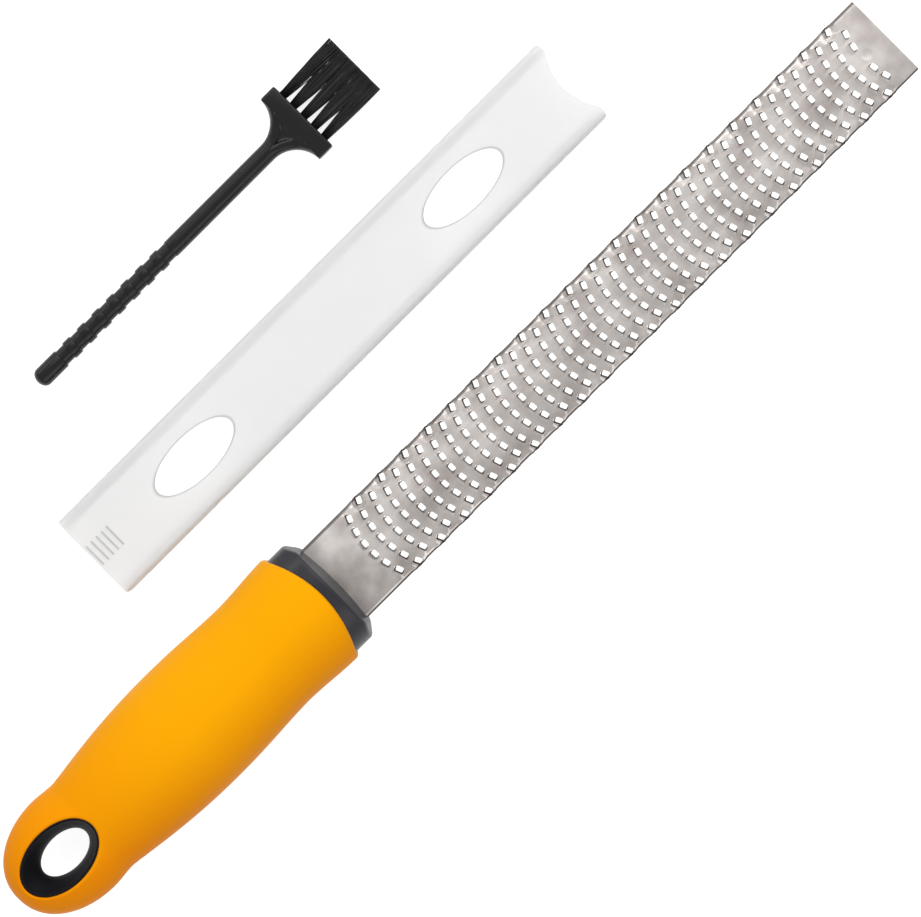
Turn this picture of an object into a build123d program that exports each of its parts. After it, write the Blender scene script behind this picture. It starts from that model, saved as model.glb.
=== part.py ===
from build123d import *
import math
import os

# A rasp zester: a long narrow stainless steel rasp in a soft-grip handle, with the clear cover
# that slides over the rasp and the small brush that cleans it. All three lie flat on a table,
# side by side. +X runs from the hanging eye to the rasp's tip, +Y across the set, +Z up, and
# the origin is the middle of the set's footprint, on the table. All sizes are in millimetres.

# One overrun serves every cut
overrun = 2.0

# Handle: stations along its outline, each placed from the butt
handle_length = 117.2
butt_to_bulb = 21.0
bulb_width = 32.0
bulb_thickness = 20.6
butt_to_waist = 28.4
waist_width = 30.9
waist_thickness = 20.4
butt_to_belly = 65.2
belly_width = 37.1
belly_thickness = 29.0
butt_to_neck = 93.7
neck_width = 35.0
neck_thickness = 28.0
butt_to_flare = 110.7
flare_width = 36.8
flare_thickness = 29.0
grip_front_radius = 34.5
grip_front_chamfer = 0.9

# Collar: the dark front end of the core, ahead of the grip
collar_width = 34.2
collar_thickness = 26.4
collar_reach = 4.9
collar_front_radius = 90.0
collar_front_width = 25.6
collar_bevel_length = 3.3
collar_draft_angle = 6.0
collar_plug_depth = 9.0

# Core bar, hidden under the grip, that joins the collar to the eye
bar_front_width = 24.0
bar_front_height = 16.0
bar_rear_width = 13.0
bar_rear_height = 9.0

# Hanging eye: an oval funnel that narrows from both faces to a throat in the middle, which
# stands a little nearer to the rasp than the eye's rim does
butt_to_eye = 17.0
eye_length = 25.4
eye_width = 16.3
eye_rim = 0.6
eye_throat_length = 15.9
eye_throat_width = 9.8
eye_throat_shift = 0.9
oval_end_share = 0.68

# Rasp: one sheet with its long edges folded down, and a tang that the core is moulded round
sheet_thickness = 0.5
rasp_width = 25.4
rasp_height = 5.0
rasp_length = 207.1
rasp_bend_radius = 1.6
rasp_rise = 2.8
rasp_seat_depth = 8.0
tang_width = 15.0
tang_length = 42.0
tang_corner_radius = 3.0
tang_hole_diameter = 5.0
tang_hole_spacing = 20.0
dimple_diameter = 3.3
dimple_depth = 0.15
dimple_from_tip = 7.2

# Teeth: straight rows and staggered rows take turns, every row bowed back to the handle
tooth_row_pitch = 4.44
tooth_side_pitch = 3.8
tooth_row_radius = 26.0
tooth_row_pairs = 21
first_row_from_collar = 11.1
tooth_mouth_length = 1.7
tooth_mouth_width = 2.15
tooth_cheek = 0.3
tooth_ramp_length = 1.3
tooth_height = 0.65
tooth_edge = 0.18
tooth_undercut = 1.0
tooth_root = 0.4
tooth_bulge = 0.2

# Blade cover: an open channel whose lips hook under the rasp's folded edges
cover_length = 184.0
cover_wall = 0.6
cover_side_clearance = 0.1
cover_height_clearance = 0.4
cover_lip = 2.4
cover_top_radius = 1.8
cover_inside_radius = 0.9
cover_foot_radius = 0.6
cover_notch_width = 21.0
cover_notch_depth = 3.5
cover_corner_radius = 1.2
cover_window_length = 27.8
cover_window_width = 12.1
cover_end_to_window = 39.2
cover_window_spacing = 103.0
rib_count = 5
rib_pitch = 1.93
rib_length = 6.9
rib_width = 0.45
rib_height = 0.25
end_to_rib = 1.0

# Brush handle: a ringed rod that flares into a flat head
rod_diameter = 5.3
cap_diameter = 5.6
cap_length = 9.3
cap_rounding = 1.8
groove_diameter = 4.8
ring_diameter = 5.6
ring_count = 7
ring_width = 2.8
ring_pitch = 5.57
brush_length = 102.4
head_length = 5.2
head_width = 22.8
head_thickness = 5.6
head_rounding = 0.8
web_thickness = 4.4
web_arm_width = 3.0
web_pocket_depth = 0.7

# Brush tufts: bundles of strands, each folded round a small metal anchor in its hole
tuft_count = 5
tuft_pitch = 4.0
tuft_diameter = 2.45
tuft_hole_depth = 3.6
strands_per_tuft = 60
strand_radius = 0.1
strand_sides = 3
tuft_length = 20.3
tuft_tip_width = 3.85
tuft_tip_thickness = 3.3
anchor_length = 2.9
anchor_width = 1.5
anchor_thickness = 0.35

# Where the cover and the brush lie beside the tool
handle_to_cover = 51.4
butt_to_cover = 78.4
handle_to_brush = 96.0
butt_to_brush = 101.35

# The rounded butt: pairs of a share of the way to the bulb and a share of the bulb's size
butt_dome_shares = ((0, 0.26), (0.055, 0.39), (0.16, 0.575), (0.3, 0.735), (0.47, 0.86), (0.7, 0.955))

# How soon the handle's outline changes between two stations: under 1 is early, over 1 is late
waist_to_belly_haste = 0.62
belly_to_neck_haste = 1.3

# The angle between one strand and the next in a tuft
golden_angle = math.pi * (3 - math.sqrt(5))

# Sizes that follow from the ones above
collar_front = handle_length + collar_reach
rasp_tip = collar_front + rasp_length
tool_length = rasp_tip
rasp_seat = collar_front - rasp_seat_depth
plug_back = handle_length - collar_plug_depth
toothed_width = rasp_width + 2 * tooth_bulge
cover_inside_width = toothed_width + 2 * cover_side_clearance
cover_width = cover_inside_width + 2 * cover_wall
cover_inside_height = rasp_height + tooth_height + cover_height_clearance
cover_height = cover_inside_height + 2 * cover_wall
tool_lift = max(belly_thickness, flare_thickness) / 2
brush_lift = max(cap_diameter, ring_diameter, head_thickness) / 2


def oval_at(x, width, thickness):
    """An upright oval across the tool, x from the butt."""
    return Plane.YZ.offset(x) * Ellipse(width / 2, thickness / 2)


def sections_between(here, there, steps, haste):
    """Ovals from one station to the next. They leave and arrive level, and change sooner
    where haste is under 1."""
    sections = []
    for step in range(1, steps + 1):
        share = step / steps
        moved = share**haste
        grown = moved * moved * (3 - 2 * moved)
        x, width, thickness = (a + (b - a) * k for a, b, k in zip(here, there, (share, grown, grown)))
        sections.append(oval_at(x, width, thickness))
    return sections


def handle_form():
    """The handle's outside: oval sections joined from the rounded butt past the grip's front."""
    bulb = (butt_to_bulb, bulb_width, bulb_thickness)
    waist = (butt_to_waist, waist_width, waist_thickness)
    belly = (butt_to_belly, belly_width, belly_thickness)
    neck = (butt_to_neck, neck_width, neck_thickness)
    flare = (butt_to_flare, flare_width, flare_thickness)
    sections = [
        oval_at(along * butt_to_bulb, size * bulb_width, size * bulb_thickness)
        for along, size in butt_dome_shares
    ]
    sections.append(oval_at(*bulb))
    sections += sections_between(bulb, waist, 2, 1)
    sections += sections_between(waist, belly, 6, waist_to_belly_haste)
    sections += sections_between(belly, neck, 4, belly_to_neck_haste)
    sections += sections_between(neck, flare, 2, 1)
    sections.append(oval_at(handle_length + overrun, flare_width, flare_thickness))
    return loft(sections, ruled=True)


def four_arc_oval(length, width):
    """An oval with its long axis along X, of two end arcs and two side arcs that meet smoothly."""
    half_length = length / 2
    half_width = width / 2
    end_radius = half_width * oval_end_share
    rise = half_length**2 + half_width**2 - 2 * half_length * end_radius
    side_radius = rise / (2 * (half_width - end_radius))
    across = half_length - end_radius
    along = side_radius - half_width
    reach = side_radius / math.hypot(across, along)
    x = across * reach
    y = along * reach - along
    arcs = ThreePointArc((x, -y), (half_length, 0), (x, y))
    arcs += ThreePointArc((x, y), (0, half_width), (-x, y))
    arcs += ThreePointArc((-x, y), (-half_length, 0), (-x, -y))
    arcs += ThreePointArc((-x, -y), (0, -half_width), (x, -y))
    return make_face(arcs)


def eye_column():
    """The oval column that the eye's lining is cut from."""
    column = extrude(four_arc_oval(eye_length, eye_width), bulb_thickness, both=True)
    return Pos(X=butt_to_eye) * column


def eye_funnel():
    """The hourglass hole through the eye's lining."""
    depth = bulb_thickness / 2 + overrun
    grown = depth / (bulb_thickness / 2)
    length = eye_throat_length + (eye_length - 2 * eye_rim - eye_throat_length) * grown
    width = eye_throat_width + (eye_width - 2 * eye_rim - eye_throat_width) * grown
    throat = Pos(X=eye_throat_shift) * four_arc_oval(eye_throat_length, eye_throat_width)
    opening = Pos(X=eye_throat_shift * (1 - grown), Z=depth) * four_arc_oval(length, width)
    upper = loft([throat, opening], ruled=True)
    return Pos(X=butt_to_eye) * (upper + mirror(upper, about=Plane.XY))


def rasp_section():
    """The folded sheet across the tool, seen along X, with its top at the rasp's rise."""
    outer = Pos(Y=rasp_rise - rasp_height / 2) * Rectangle(rasp_width, rasp_height)
    outer = fillet(outer.vertices().group_by(Axis.Y)[-1], rasp_bend_radius)
    inner = offset(outer, -sheet_thickness, kind=Kind.INTERSECTION)
    inner = inner + Pos(Y=-sheet_thickness) * inner
    return outer - inner


def rasp_blank():
    """The folded sheet with its tang, before the teeth are formed."""
    channel = extrude(Plane.YZ.offset(rasp_seat) * rasp_section(), rasp_tip - rasp_seat)
    tang = Rectangle(tang_length, tang_width)
    tang = fillet(tang.vertices().group_by(Axis.X)[0], tang_corner_radius)
    for side in (-1, 1):
        tang -= Pos(X=side * tang_hole_spacing / 2) * Circle(tang_hole_diameter / 2)
    tang = extrude(tang, -sheet_thickness)
    return channel + Pos(X=rasp_seat - tang_length / 2, Z=rasp_rise) * tang


def tooth_tent():
    """The raised metal of one tooth: a ramp up to the edge, then cheeks that slope down."""
    side = Polyline(
        (-tooth_ramp_length, 0),
        (0, tooth_height),
        (tooth_mouth_length, 0),
        (tooth_mouth_length, -tooth_root),
        (-tooth_ramp_length, -tooth_root),
        close=True,
    )
    return extrude(Plane.XZ * make_face(side), tooth_mouth_width / 2 + tooth_cheek, both=True)


def tooth_mouth():
    """The cut that opens the tooth towards the tip and sharpens its edge from below."""
    side = Polyline(
        (0, tooth_height + overrun),
        (tooth_mouth_length, tooth_height + overrun),
        (tooth_mouth_length, -2 * sheet_thickness),
        (-tooth_undercut, -2 * sheet_thickness),
        (-tooth_undercut, -sheet_thickness),
        (0, tooth_height - tooth_edge),
        close=True,
    )
    return extrude(Plane.XZ * make_face(side), tooth_mouth_width / 2, both=True)


def tooth_place(row_x, across):
    """Where a tooth stands on its arc-shaped row, square to the arc."""
    turn = math.asin(across / tooth_row_radius)
    x = row_x + tooth_row_radius * (1 - math.cos(turn))
    return Pos(x, across, rasp_rise) * Rot(Z=math.degrees(turn))


def tooth_places():
    """Every tooth: rows of six and seven in turn, and a last row that leaves out its middle."""
    places = []
    first = collar_front + first_row_from_collar
    for pair in range(tooth_row_pairs):
        row_x = first + 2 * pair * tooth_row_pitch
        places += [tooth_place(row_x, (i + 1 / 2) * tooth_side_pitch) for i in range(-3, 3)]
        row_x += tooth_row_pitch
        places += [tooth_place(row_x, i * tooth_side_pitch) for i in range(-3, 4)]
    last = first + 2 * tooth_row_pairs * tooth_row_pitch
    places += [tooth_place(last, i * tooth_side_pitch) for i in (-2, -1, 1, 2)]
    return places


def make_rasp(blank):
    """The rasp with all its teeth and the dimple near its tip."""
    tent = tooth_tent()
    mouth = tooth_mouth()
    places = tooth_places()
    middle = collar_front + rasp_length / 2
    reach = Pos(X=middle) * Box(rasp_length, toothed_width, 2 * rasp_height)
    rasp = blank + [place * tent & reach for place in places]
    rasp = rasp - [place * mouth for place in places]
    dimple = Cylinder(dimple_diameter / 2, 2 * dimple_depth)
    return rasp - Pos(X=rasp_tip - dimple_from_tip, Z=rasp_rise) * dimple


def collar_block():
    """The collar and the plug behind it: an oval block with a bowed, drafted, bevelled front."""
    oval = Plane.YZ.offset(plug_back) * four_arc_oval(collar_width, collar_thickness)
    block = extrude(oval, collar_front - plug_back)
    half_front = collar_front_width / 2
    sag = collar_front_radius - math.sqrt(collar_front_radius**2 - half_front**2)
    corner = collar_front - sag
    bevel_width = (collar_width - collar_front_width) / 2
    spread = half_front + 2 * bevel_width
    bevel_end = corner - 2 * collar_bevel_length
    back = plug_back - overrun
    outline = ThreePointArc((corner, -half_front), (collar_front, 0), (corner, half_front))
    outline += Polyline(
        (corner, half_front),
        (bevel_end, spread),
        (back, spread),
        (back, -spread),
        (bevel_end, -spread),
        (corner, -half_front),
    )
    plan = make_face(outline)
    upper = extrude(plan, collar_thickness, taper=collar_draft_angle)
    return block & (upper + mirror(upper, about=Plane.XY))


def bar_outline(rear, front):
    """The bar's taper from the eye to the collar's plug, seen from above or from the side."""
    rear = rear / 2
    front = front / 2
    corners = [(butt_to_eye, -rear), (plug_back, -front), (plug_back, front), (butt_to_eye, rear)]
    return make_face(Polyline(*corners, close=True))


def core_body(outside):
    """The core before the eye and the tang's place are cut: collar, bar and eye lining."""
    plan = extrude(bar_outline(bar_rear_width, bar_front_width), bar_front_height, both=True)
    side = Plane.XZ * bar_outline(bar_rear_height, bar_front_height)
    bar = plan & extrude(side, bar_front_width, both=True)
    return collar_block() + bar + (eye_column() & outside)


def grip_front_cut():
    """All that lies ahead of the grip's bowed front."""
    half = flare_width / 2 + overrun
    sag = grip_front_radius - math.sqrt(grip_front_radius**2 - half**2)
    side = handle_length - sag
    far = handle_length + 2 * overrun
    outline = ThreePointArc((side, -half), (handle_length, 0), (side, half))
    outline += Polyline((side, half), (far, half), (far, -half), (side, -half))
    return extrude(make_face(outline), flare_thickness, both=True)


def make_grip(outside, core):
    """The soft skin moulded over the core, with a bevelled lip at its front."""
    grip = outside - grip_front_cut()
    grip = chamfer(grip.faces().sort_by(Axis.X)[-1].edges(), grip_front_chamfer)
    return grip - core


def cover_section():
    """The cover across its length, seen along X: a roof, two walls and two inward lips."""
    outer = Pos(Y=cover_height / 2) * Rectangle(cover_width, cover_height)
    outer = fillet(outer.vertices().group_by(Axis.Y)[-1], cover_top_radius)
    outer = fillet(outer.vertices().group_by(Axis.Y)[0], cover_foot_radius)
    room = Pos(Y=cover_height / 2) * Rectangle(cover_inside_width, cover_inside_height)
    room = fillet(room.vertices().group_by(Axis.Y)[-1], cover_inside_radius)
    slot = Rectangle(cover_inside_width - 2 * cover_lip, 4 * cover_wall)
    return outer - room - slot


def make_cover():
    """The cover on the table, from its ribbed end at X = 0 to its notched end."""
    body = extrude(Plane.YZ * cover_section(), cover_length)
    plan = Pos(X=cover_length / 2) * Rectangle(cover_length, cover_width)
    plan = fillet(plan.vertices(), cover_corner_radius)
    half = cover_notch_width / 2
    notch_radius = (half**2 + cover_notch_depth**2) / (2 * cover_notch_depth)
    notch = Pos(X=cover_length - cover_notch_depth + notch_radius) * Circle(notch_radius)
    windows = [
        Pos(X=cover_end_to_window + i * cover_window_spacing)
        * Ellipse(cover_window_length / 2, cover_window_width / 2)
        for i in range(2)
    ]
    body = body & extrude(plan - notch, cover_height)
    body = body - Pos(Z=cover_height / 2) * extrude(Sketch() + windows, cover_height)
    rib = Box(rib_width, rib_length, 2 * rib_height)
    ribs = [Pos(X=end_to_rib + i * rib_pitch, Z=cover_height) * rib for i in range(rib_count)]
    return body + ribs


def rod_profile():
    """Half of the rod's length section: cap, grooves and rings, and a plain shaft that ends
    in the web."""
    groove = groove_diameter / 2
    ring = ring_diameter / 2
    cap = cap_diameter / 2
    shaft = rod_diameter / 2
    x = cap_length
    cut = cap_rounding * (1 - math.sqrt(1 / 2))
    points = [(0, 0), (0, cap - cap_rounding), (cut, cap - cut), (cap_rounding, cap)]
    points += [(x, cap), (x, groove)]
    for _ in range(ring_count):
        x += ring_pitch - ring_width
        points += [(x, groove), (x, ring), (x + ring_width, ring), (x + ring_width, groove)]
        x += ring_width
    x += ring_pitch - ring_width
    start = brush_length - head_length - (head_width / 2 - shaft)
    points += [(x, groove), (x, shaft), (start, shaft), (start + shaft, 0)]
    return make_face(Polyline(*points, close=True))


def web_plan():
    """The web from above: two hollow curves that spread from the rod to the head's full width."""
    back = brush_length - head_length
    shaft = rod_diameter / 2
    half = head_width / 2
    radius = half - shaft
    start = back - radius
    upper = CenterArc((start, half), radius, -90, 90)
    upper += Polyline((back, half), (back, 0), (start, 0), (start, shaft))
    upper = make_face(upper)
    return upper + mirror(upper, about=Plane.XZ)


def web_pocket():
    """The hollow between the two arms of the web, from above."""
    back = brush_length - head_length
    half = head_width / 2
    radius = half - rod_diameter / 2
    start = back - radius
    reach = max(radius + web_arm_width, half)
    fork = start + math.sqrt(reach**2 - half**2)
    middle = (fork + back) / 2
    rise = half - math.sqrt(reach**2 - (middle - start) ** 2)
    wide = half - math.sqrt(reach**2 - radius**2)
    outline = ThreePointArc((fork, 0), (middle, rise), (back, wide))
    outline += Polyline((back, wide), (back, -wide))
    outline += ThreePointArc((back, -wide), (middle, -rise), (fork, 0))
    return make_face(outline)


def make_brush_handle(tuft_hole, anchor):
    """The ringed rod, flared web and head in one moulding, with its tuft holes."""
    back = brush_length - head_length
    rod = revolve(rod_profile(), Axis.X)
    web = extrude(web_plan(), web_thickness / 2, both=True)
    pocket = extrude(web_pocket(), web_pocket_depth, both=True)
    web = web - [Pos(Z=side * web_thickness / 2) * pocket for side in (-1, 1)]
    head = Box(head_length, head_width, head_thickness)
    head = fillet(head.edges().filter_by(Axis.Z), head_rounding)
    head = Pos(X=back + head_length / 2) * head
    places = tuft_places()
    return rod + web + head - [place * (tuft_hole + anchor) for place in places]


def tuft_places():
    """Where the tufts stand in the head's front."""
    middle = (tuft_count - 1) / 2
    return [Pos(X=brush_length, Y=(i - middle) * tuft_pitch) for i in range(tuft_count)]


def tuft_plug():
    """The bundled foot of a tuft, which fills its hole."""
    return Pos(X=-tuft_hole_depth / 2) * Cylinder(
        tuft_diameter / 2, tuft_hole_depth, rotation=(0, 90, 0)
    )


def make_anchor():
    """The small metal plate that a tuft is folded over, at the bottom of its hole."""
    size = (anchor_width, anchor_length, anchor_thickness)
    return Pos(X=-tuft_hole_depth + anchor_width / 2) * Box(*size)


def make_tuft(anchor):
    """One tuft: its plug and the strands that fan out to the square-cut tip."""
    root_y = tuft_diameter / 2 - strand_radius
    tip_y = tuft_tip_width / 2 - strand_radius
    tip_z = tuft_tip_thickness / 2 - strand_radius
    section = Plane.YZ * RegularPolygon(strand_radius, strand_sides)
    strands = []
    for i in range(strands_per_tuft):
        reach = math.sqrt((i + 1 / 2) / strands_per_tuft)
        y = reach * math.cos(i * golden_angle)
        z = reach * math.sin(i * golden_angle)
        foot = Vector(-strand_radius, y * root_y, z * root_y)
        tip = Vector(tuft_length, y * tip_y, z * tip_z)
        strands.append(Solid.extrude(section.face().moved(Location(foot)), tip - foot))
    return tuft_plug() - anchor + strands


def main():
    """Builds every piece, lays the three items out and writes one STEP file per piece."""
    outside = handle_form()
    blank = rasp_blank()
    whole_core = core_body(outside)
    anchor = make_anchor()
    tuft = make_tuft(anchor)
    places = tuft_places()

    tool = {
        "grip_sleeve": make_grip(outside, whole_core),
        "handle_core": whole_core - eye_funnel() - blank,
        "rasp_blade": make_rasp(blank),
    }
    cover = {"blade_cover": make_cover()}
    brush = {"brush_handle": make_brush_handle(tuft_plug(), anchor)}
    for i, place in enumerate(places):
        brush[f"bristle_tuft_{i + 1}"] = place * tuft
    brush["tuft_anchors"] = Compound([place * anchor for place in places])

    low_side = -max(belly_width, flare_width) / 2
    high_side = handle_to_brush + head_width / 2
    middle = Pos(-tool_length / 2, -(low_side + high_side) / 2, 0)
    layout = [
        (tool, Pos(Z=tool_lift)),
        (cover, Pos(butt_to_cover, handle_to_cover, 0)),
        (brush, Pos(butt_to_brush, handle_to_brush, brush_lift)),
    ]
    os.makedirs("parts", exist_ok=True)
    for item, place in layout:
        for name, shape in item.items():
            export_step(middle * place * shape, f"parts/{name}.step")


if __name__ == "__main__":
    main()
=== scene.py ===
import math

import bmesh
import bpy
from mathutils import Matrix, Vector
from mathutils.geometry import delaunay_2d_cdt


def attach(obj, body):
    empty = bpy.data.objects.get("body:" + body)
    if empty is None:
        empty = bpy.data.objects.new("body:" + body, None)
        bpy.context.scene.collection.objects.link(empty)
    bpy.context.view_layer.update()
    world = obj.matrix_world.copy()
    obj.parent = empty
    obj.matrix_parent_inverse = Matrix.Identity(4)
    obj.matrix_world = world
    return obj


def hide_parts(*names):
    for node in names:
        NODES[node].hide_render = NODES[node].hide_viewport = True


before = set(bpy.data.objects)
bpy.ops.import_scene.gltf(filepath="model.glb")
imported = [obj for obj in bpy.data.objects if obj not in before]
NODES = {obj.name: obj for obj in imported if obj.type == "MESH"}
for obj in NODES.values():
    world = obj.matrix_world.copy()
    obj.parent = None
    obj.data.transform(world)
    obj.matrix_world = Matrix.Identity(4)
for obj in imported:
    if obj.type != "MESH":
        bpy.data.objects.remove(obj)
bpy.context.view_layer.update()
MM = 0.001

# Where the tool and the brush lie, in millimetres from the middle of the set
TOOL = Vector((-164.6, -44.425, 14.5))
BRUSH = Vector((-63.25, 51.575, 2.8))

# The handle's outline: stations as distance from the butt, full width and full thickness
BULB = (21.0, 32.0, 20.6)
WAIST = (28.4, 30.9, 20.4)
BELLY = (65.2, 37.1, 29.0)
NECK = (93.7, 35.0, 28.0)
FLARE = (110.7, 36.8, 29.0)
BUTT_POWER = 2.2
# How soon the outline changes between two stations: under 1 is early, over 1 is late
WAIST_HASTE = 0.62
BELLY_HASTE = 1.3
GRIP_FRONT = 117.2
GRIP_FRONT_RADIUS = 34.5
GRIP_LIP = 1.1
GRIP_LIP_DEPTH = 0.6

# The grip's rings run round the eye up to the join, and then along the handle
GRIP_JOIN = 34.0
GRIP_ACROSS_STEPS = 64
GRIP_ROUND_STEPS = 112
GRIP_ALONG_STEPS = 66
GRIP_LIP_STEPS = 6
EYE_RINGS = 20
EYE_RIM_STEPS = 5

# The hanging eye: a funnel from its rim to a throat that stands nearer to the rasp
EYE_X = 17.0
EYE_LENGTH = 25.4
EYE_WIDTH = 16.3
EYE_RIM_ROUNDING = 0.8
EYE_RIM_DEPTH = 1.5
THROAT_LENGTH = 15.9
THROAT_WIDTH = 9.8
THROAT_SHIFT = 0.9
FUNNEL_POWER = 1.2
LINING_STEPS = 16
LINING_SIDES = 96
LINING_SUNK = 0.25
# How far out of the eye's edge, and how far below its top, the lining's rim stands
LINING_RIM = ((0.25, 0.35), (-0.2, 0.0))
LINING_INSET = 0.5
LINING_STEP = 0.12

# The cover, from the middle of the set
COVER_MIDDLE = (4.5, 6.975)
WINDOW_SPACING = 103.0
WINDOW_LENGTH = 27.8
WINDOW_WIDTH = 12.1
FIRST_RIB = -85.1
RIB_COUNT = 5
RIB_PITCH = 1.93
RIB_LENGTH = 6.9

# The collar: its front is bowed, bevelled at its sides and leans back up and down
COLLAR_FRONT = 122.1
COLLAR_BACK = 108.2
COLLAR_WIDTH = 34.2
COLLAR_THICKNESS = 26.4
COLLAR_EDGE = 0.7
COLLAR_FRONT_RADIUS = 90.0
COLLAR_FRONT_HALF = 12.8
COLLAR_BEVEL = 0.63
COLLAR_BEVEL_ROUNDING = 0.6
COLLAR_LEAN = math.radians(8.5)
COLLAR_SIDES = 128
COLLAR_SIDE_STEPS = 8
COLLAR_EDGE_STEPS = 6
COLLAR_FACE_STEPS = 13

# The rasp's sheet
RASP_SEAT = 114.1
RASP_TIP = 329.2
RASP_TOP = 2.8
RASP_WIDTH = 25.4
RASP_HEIGHT = 5.0
SHEET = 0.5
BEND = 1.2
BEND_STEPS = 5
SHEET_STEPS = 288
FLAT_HALF = RASP_WIDTH / 2 - BEND
BEND_RUN = BEND * math.pi / 2
WALL_END = FLAT_HALF + BEND_RUN + RASP_HEIGHT - BEND
DIMPLE_X = RASP_TIP - 7.2
DIMPLE_RADIUS = 1.8
DIMPLE_DEPTH = 0.15
DIMPLE_RINGS = (1.0, 0.8, 0.45)
DIMPLE_SIDES = 24

# The rows of teeth, bowed back to the handle
ROW_PITCH = 4.44
SIDE_PITCH = 3.8
ROW_RADIUS = 26.0
ROW_PAIRS = 21
FIRST_ROW = COLLAR_FRONT + 12.25
STRAIGHT_ROW = 6
STAGGERED_ROW = 7
LAST_ROW = (-2, -1, 1, 2)

# One tooth, with distances along it that start at its cutting edge
TOOTH_HEIGHT = 0.4
TOOTH_BACK = -0.95
TOOTH_SIDE = 1.56
TOOTH_FRONT = 1.8
TOOTH_CENTRE = 1.1
RIM_SIDE = 1.34
RIM_CORNER = 0.26
RAMP_SHARE = 0.3
CHEEK_MIDDLE = 0.7
CHEEK_SHARE = 0.6
CHEEK_END = 1.2
THROAT_BACK = 0.4
THROAT_SIDE = 1.02
THROAT_CORNER = 0.24
THROAT_DROP = -0.3

# The last tooth of a staggered row sits on the fold, leaning and a little proud of it
EDGE_ROOT = 9.7
EDGE_END = 12.9
EDGE_LEAN = math.radians(10)
EDGE_MIDDLE = -0.5
EDGE_HALF = 1.75
EDGE_BLEND = 0.8

# The brush's rod, from its domed cap to its head
CAP_LENGTH = 9.3
CAP_ROUNDING = 2.2
CAP_RADIUS = 2.8
GROOVE_RADIUS = 2.4
RINGS = 7
RING_WIDTH = 2.8
RING_PITCH = 5.57
# How far back from a ring's side, and how far below its top, its rounded edge runs
RING_EDGE = ((0.32, 0.0), (0.12, 0.05), (0.03, 0.14), (0.0, CAP_RADIUS - GROOVE_RADIUS))
SHAFT_RADIUS = 2.65
BRUSH_LENGTH = 102.4
HEAD_LENGTH = 5.2
HEAD_HALF = 11.4
HEAD_RISE = 2.8
HEAD_CORNER = 0.9
HEAD_EDGE = 0.6
HEAD_BACK = BRUSH_LENGTH - HEAD_LENGTH
FLARE_RADIUS = HEAD_HALF - SHAFT_RADIUS
FLARE_START = HEAD_BACK - FLARE_RADIUS
FLARE_STEPS = 36
ROD_SIDES = 128
SHAFT_STEPS = 12
ARM_RUN = 4
ARM_ROUNDING = 1.5
ARM_DROP = 0.3
WEB_SUNK = 0.8
WEB_SLOPE = (2.4, 3.6)

# The bristles
TUFTS = 5
TUFT_PITCH = 4.0
STRANDS = 150
STRAND_RADIUS = 0.1
STRAND_BOW = 0.22
STRAND_STEPS = 3
BRISTLE_LENGTH = 20.4
ROOT_DEPTH = 0.4
ROOT_RADIUS = 1.15
TIP_HALF_WIDTH = 2.8
TIP_HALF_THICKNESS = 1.5
LOWEST_TIP = -9.3
HIGHEST_TIP = 9.9
GOLDEN_ANGLE = math.pi * (3 - math.sqrt(5))


# Meshes


def plain_mesh(name, points, faces, place=TOOL):
    """A smooth mesh object from points in millimetres, placed by moving its points."""
    mesh = bpy.data.meshes.new(name)
    mesh.from_pydata([(Vector(p) + place) * MM for p in points], [], faces)
    mesh.validate()
    mesh.polygons.foreach_set("use_smooth", [True] * len(mesh.polygons))
    obj = bpy.data.objects.new(name, mesh)
    bpy.context.scene.collection.objects.link(obj)
    return obj


def ring_faces(rings, around, first=0):
    """The faces between stacked rings of points, each closed on itself."""
    faces = []
    for ring in range(rings - 1):
        start = first + ring * around
        for i in range(around):
            j = (i + 1) % around
            faces.append((start + i, start + j, start + j + around, start + i + around))
    return faces


def outward(obj, sharp=None):
    """Merges doubles, turns every face outwards and marks sharp edges."""
    work = bmesh.new()
    work.from_mesh(obj.data)
    bmesh.ops.remove_doubles(work, verts=work.verts, dist=0.000004)
    bmesh.ops.recalc_face_normals(work, faces=work.faces)
    work.to_mesh(obj.data)
    work.free()
    if sharp is not None:
        obj.data.set_sharp_from_angle(angle=math.radians(sharp))
    return obj


def made_plain(obj):
    """Turns what the modifiers give into the object's own mesh."""
    depsgraph = bpy.context.evaluated_depsgraph_get()
    depsgraph.update()
    mesh = bpy.data.meshes.new_from_object(obj.evaluated_get(depsgraph))
    obj.modifiers.clear()
    obj.data = mesh


def quarter(steps, first=1):
    """Angles of a quarter turn, in even steps up to the last."""
    return [step / steps * math.pi / 2 for step in range(first, steps + 1)]


def smooth_step(low, high, value):
    share = min(max((value - low) / (high - low), 0), 1)
    return share * share * (3 - 2 * share)


# Node trees


class Nodes:
    """Adds nodes to a tree, with settings, and with values or sockets for their inputs."""

    def __init__(self, tree):
        self.tree = tree

    def add(self, kind, inputs=None, **settings):
        node = self.tree.nodes.new(kind)
        for key, value in settings.items():
            setattr(node, key, value)
        for key, value in (inputs or {}).items():
            for one in value if isinstance(value, list) else [value]:
                one = one.socket if isinstance(one, Field) else one
                if isinstance(one, bpy.types.NodeSocket):
                    self.tree.links.new(one, node.inputs[key])
                else:
                    node.inputs[key].default_value = one
        return node

    def maths(self, operation, *values):
        return self.add("ShaderNodeMath", dict(enumerate(values)), operation=operation).outputs[0]

    def ranged(self, value, low, high, to_low=0.0, to_high=1.0):
        """A value from low to high, brought to another span and held at its ends."""
        names = ("Value", "From Min", "From Max", "To Min", "To Max")
        limits = dict(zip(names, (value, low, high, to_low, to_high)))
        return self.add("ShaderNodeMapRange", limits).outputs["Result"]

    def noise(self, vector, scale, detail):
        inputs = {"Vector": vector, "Scale": scale, "Detail": detail}
        return self.add("ShaderNodeTexNoise", inputs).outputs["Fac"]

    def split(self, vector):
        return self.add("ShaderNodeSeparateXYZ", {"Vector": vector}).outputs


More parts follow.
